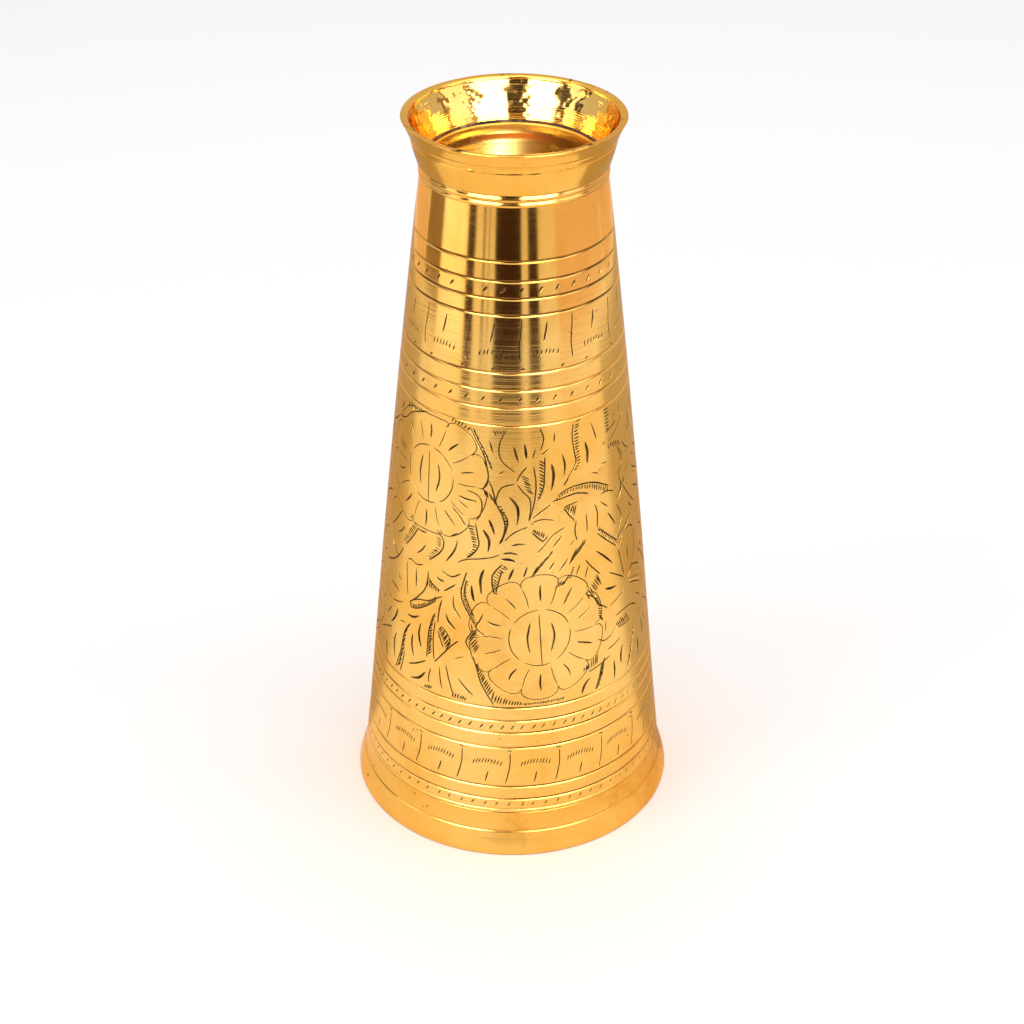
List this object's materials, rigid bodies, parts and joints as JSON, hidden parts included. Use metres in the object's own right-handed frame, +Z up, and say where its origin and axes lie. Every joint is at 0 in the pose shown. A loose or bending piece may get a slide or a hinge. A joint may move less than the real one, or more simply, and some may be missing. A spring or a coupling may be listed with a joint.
{
  "type": "flower vase",
  "caption": "Tall tapered brass vase with a flared mouth collar and a flared foot, turned lines and an engraved floral band.",
  "frame": {"origin": "centre of the face the foot ring stands on", "axes": "+Z up along the axis of the vase, from the foot to the mouth; the side seen in the picture faces -Y"},
  "size_m": [0.1142, 0.1142, 0.254],
  "materials": {
    "brass_body": "polished, lacquered yellow brass with fine turning marks; engraved lines filled with dark patina",
    "brass_collar": "polished brass casting, with turning rings and small dimples inside the funnel",
    "brass_foot": "polished brass casting with tarnish spots at its edge",
    "brass_base": "unpolished sheet brass, dull and slightly tarnished",
    "solder": "hard solder, rough and darkened by flux"
  },
  "bodies": {
    "root": {"mouth_collar": "brass_collar", "neck_solder": "solder", "body_shell": "brass_body", "foot_ring": "brass_foot", "foot_solder": "solder", "base_disc": "brass_base", "base_solder": "solder"}
  },
  "joints": []
}
